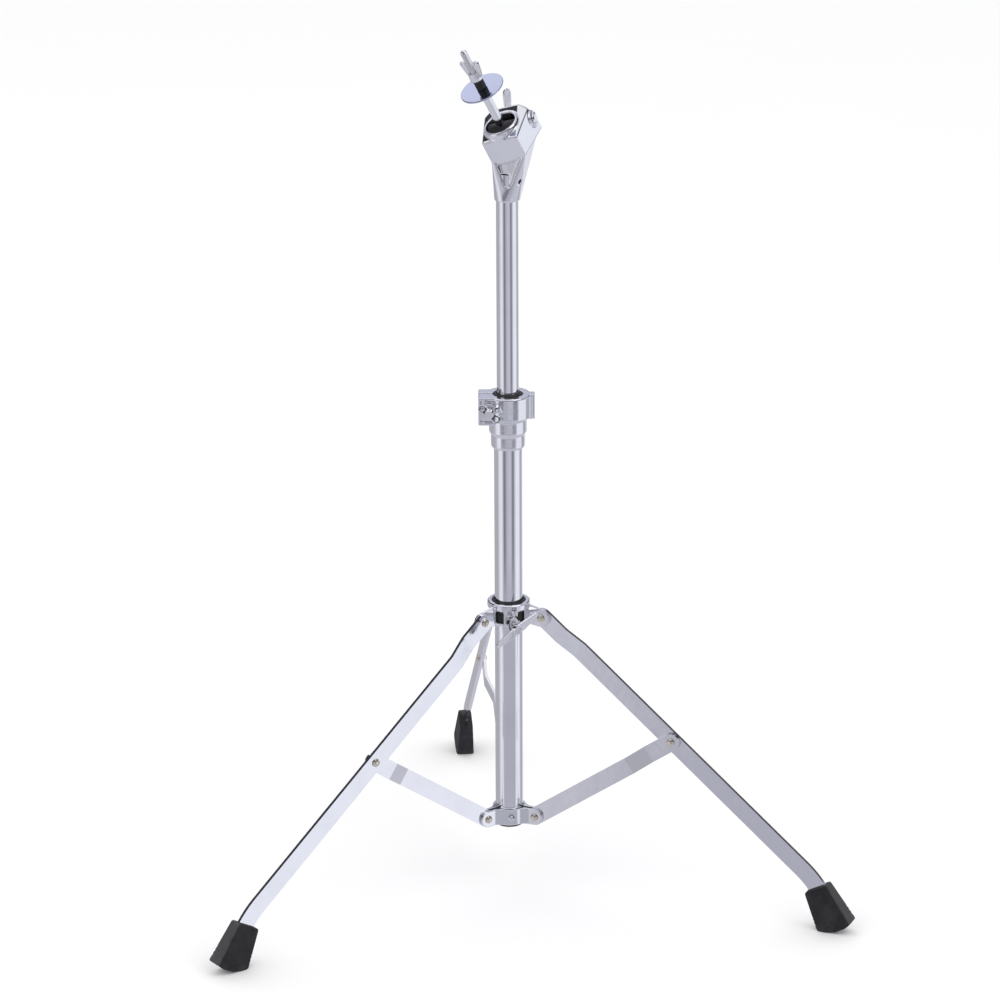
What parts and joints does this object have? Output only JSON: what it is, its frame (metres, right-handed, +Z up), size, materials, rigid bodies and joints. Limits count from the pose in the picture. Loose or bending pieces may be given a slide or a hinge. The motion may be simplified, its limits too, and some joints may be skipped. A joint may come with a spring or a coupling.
{
  "type": "cymbal stand",
  "caption": "Straight telescoping cymbal stand with a folding tripod of flat braced legs, rubber feet, a height clamp and a tilting cymbal rod.",
  "frame": {"origin": "centre of the footprint's box, on the floor under the stand", "axes": "+Z up along the column, +Y towards the rear leg's foot, +X towards the right leg's side"},
  "size_m": [0.5856, 0.5083, 0.7929],
  "materials": {
    "chrome_tube": "bright mirror chrome plate",
    "chrome_casting": "bright chrome over a die-cast skin",
    "chrome_strap": "bright chrome on pressed steel strip",
    "chrome_hardware": "bright chrome on small hardware",
    "rivet": "pale tinted steel rivet with a satin head",
    "foot_rubber": "matte black moulded rubber",
    "black_nylon": "satin black moulded nylon"
  },
  "bodies": {
    "column": {"lower_tube": "chrome_tube", "tube_end_plug": "black_nylon", "height_clamp": "chrome_casting", "clamp_nut": "chrome_hardware", "bracket_band_rear": "chrome_strap", "bracket_screw_rear": "chrome_hardware", "brace_pin_rear": "rivet", "bracket_band_left": "chrome_strap", "bracket_screw_left": "chrome_hardware", "brace_pin_left": "rivet", "bracket_band_right": "chrome_strap", "bracket_screw_right": "chrome_hardware", "brace_pin_right": "rivet"},
    "clamp_sleeve": {"clamp_sleeve": "black_nylon"},
    "upper_stage": {"upper_tube": "chrome_tube", "tube_glide": "black_nylon", "tilter_head": "chrome_casting", "tilter_cap_screw": "chrome_hardware", "set_screw": "black_nylon"},
    "cymbal_rod": {"tilter_drum": "black_nylon", "cymbal_rod": "chrome_hardware", "cup_washer": "chrome_hardware", "rod_sleeve": "black_nylon"},
    "cymbal_wing_nut": {"cymbal_wing_nut": "chrome_hardware"},
    "tilter_wing_bolt": {"tilter_wing_bolt": "chrome_hardware"},
    "clamp_wing_bolt": {"clamp_wing_bolt": "chrome_hardware"},
    "leg_collar": {"leg_collar": "chrome_casting", "collar_bush": "black_nylon", "leg_pin_rear": "rivet", "leg_pin_left": "rivet", "leg_pin_right": "rivet"},
    "collar_wing_bolt": {"collar_wing_bolt": "chrome_hardware"},
    "leg_rear": {"leg_rear": "chrome_strap", "foot_rear": "foot_rubber", "leg_rivet_rear": "rivet"},
    "brace_rear": {"brace_rear": "chrome_strap", "brace_rivet_rear": "rivet"},
    "leg_left": {"leg_left": "chrome_strap", "foot_left": "foot_rubber", "leg_rivet_left": "rivet"},
    "brace_left": {"brace_left": "chrome_strap", "brace_rivet_left": "rivet"},
    "leg_right": {"leg_right": "chrome_strap", "foot_right": "foot_rubber", "leg_rivet_right": "rivet"},
    "brace_right": {"brace_right": "chrome_strap", "brace_rivet_right": "rivet"}
  },
  "joints": [
    {"name": "collar_slide", "type": "slide", "parent": "column", "child": "leg_collar", "axis": [0, 0, 1], "range_m": [0, 0.1254]},
    {"name": "sleeve_swivel", "type": "hinge", "parent": "column", "child": "clamp_sleeve", "pos_m": [0.0003, -0.0792, 0.46], "axis": [0, 0, 1], "continuous": true},
    {"name": "height_slide", "type": "slide", "parent": "clamp_sleeve", "child": "upper_stage", "axis": [0, 0, 1], "range_m": [-0.165, 0.15]},
    {"name": "rod_tilt", "type": "hinge", "parent": "upper_stage", "child": "cymbal_rod", "pos_m": [0.0003, -0.0792, 0.709], "axis": [0.8349, -0.4698, 0.2868], "range_deg": [-25, 25]},
    {"name": "cymbal_nut_turn", "type": "hinge", "parent": "cymbal_rod", "child": "cymbal_wing_nut", "pos_m": [-0.03019, -0.09638, 0.76962], "axis": [-0.4356, -0.2455, 0.866], "continuous": true},
    {"name": "tilter_bolt_turn", "type": "hinge", "parent": "upper_stage", "child": "tilter_wing_bolt", "pos_m": [0.00537, -0.05612, 0.71809], "axis": [0.3365, 0.848, 0.4096], "continuous": true},
    {"name": "clamp_bolt_turn", "type": "hinge", "parent": "column", "child": "clamp_wing_bolt", "pos_m": [-0.01851, -0.09266, 0.462], "axis": [-0.1426, -0.9898, 0], "continuous": true},
    {"name": "collar_bolt_turn", "type": "hinge", "parent": "leg_collar", "child": "collar_wing_bolt", "pos_m": [0.00192, -0.10816, 0.2608], "axis": [0.0558, -0.9984, 0], "continuous": true},
    {"name": "leg_fold_rear", "type": "hinge", "parent": "leg_collar", "child": "leg_rear", "pos_m": [0.00133, -0.04792, 0.2623], "axis": [-0.9995, 0.0328, 0], "range_deg": [0, 46.2]},
    {"name": "brace_fold_rear", "type": "hinge", "parent": "column", "child": "brace_rear", "pos_m": [0.00118, -0.05251, 0.0673], "axis": [0.9995, -0.0328, 0], "range_deg": [0, 48.7]},
    {"name": "leg_fold_left", "type": "hinge", "parent": "leg_collar", "child": "leg_left", "pos_m": [-0.0273, -0.09395, 0.2623], "axis": [0.4713, -0.882, 0], "range_deg": [0, 46.2]},
    {"name": "brace_fold_left", "type": "hinge", "parent": "column", "child": "brace_left", "pos_m": [-0.02325, -0.09178, 0.0673], "axis": [-0.4713, 0.882, 0], "range_deg": [0, 48.7]},
    {"name": "leg_fold_right", "type": "hinge", "parent": "leg_collar", "child": "leg_right", "pos_m": [0.02688, -0.09573, 0.2623], "axis": [0.5281, 0.8492, 0], "range_deg": [0, 46.2]},
    {"name": "brace_fold_right", "type": "hinge", "parent": "column", "child": "brace_right", "pos_m": [0.02297, -0.0933, 0.0673], "axis": [-0.5281, -0.8492, 0], "range_deg": [0, 48.7]}
  ],
  "couplings": [
    {"joint": "leg_fold_rear", "follows": "collar_slide", "rad_per_m": 6.4137},
    {"joint": "brace_fold_rear", "follows": "collar_slide", "rad_per_m": 6.7557},
    {"joint": "leg_fold_left", "follows": "collar_slide", "rad_per_m": 6.4137},
    {"joint": "brace_fold_left", "follows": "collar_slide", "rad_per_m": 6.7557},
    {"joint": "leg_fold_right", "follows": "collar_slide", "rad_per_m": 6.4137},
    {"joint": "brace_fold_right", "follows": "collar_slide", "rad_per_m": 6.7557}
  ]
}
